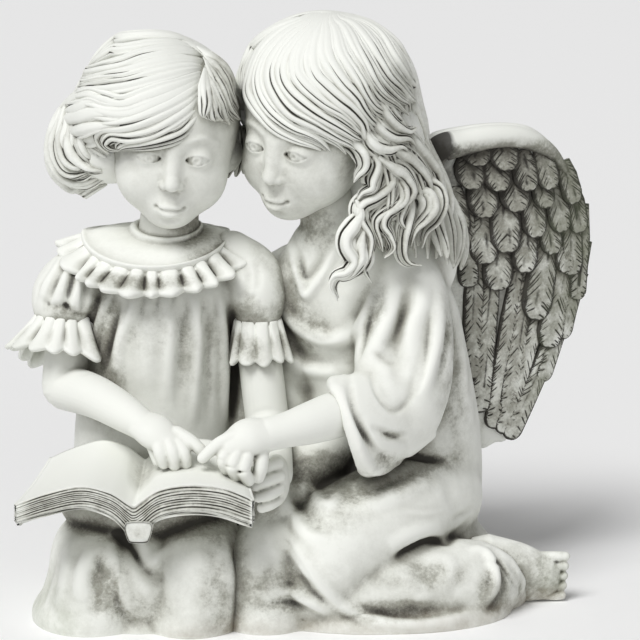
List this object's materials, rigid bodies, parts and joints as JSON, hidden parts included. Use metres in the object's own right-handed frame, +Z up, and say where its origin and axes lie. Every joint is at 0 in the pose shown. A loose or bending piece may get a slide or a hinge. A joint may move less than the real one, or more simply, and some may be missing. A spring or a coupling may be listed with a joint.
{
  "type": "garden statue",
  "caption": "Kneeling child and winged child leaning together over an open book, cast as one whitish stone garden statue with a flat underside.",
  "frame": {"origin": "on the ground under the middle of the group, on the flat underside", "axes": "+Z up, the figures face -Y, the winged child sits towards +X"},
  "size_m": [0.3931, 0.2899, 0.3976],
  "materials": {
    "cast_stone": "matt whitish cast stone with a grey-brown wash in the recesses"
  },
  "bodies": {
    "root": {"statue": "cast_stone"}
  },
  "joints": []
}
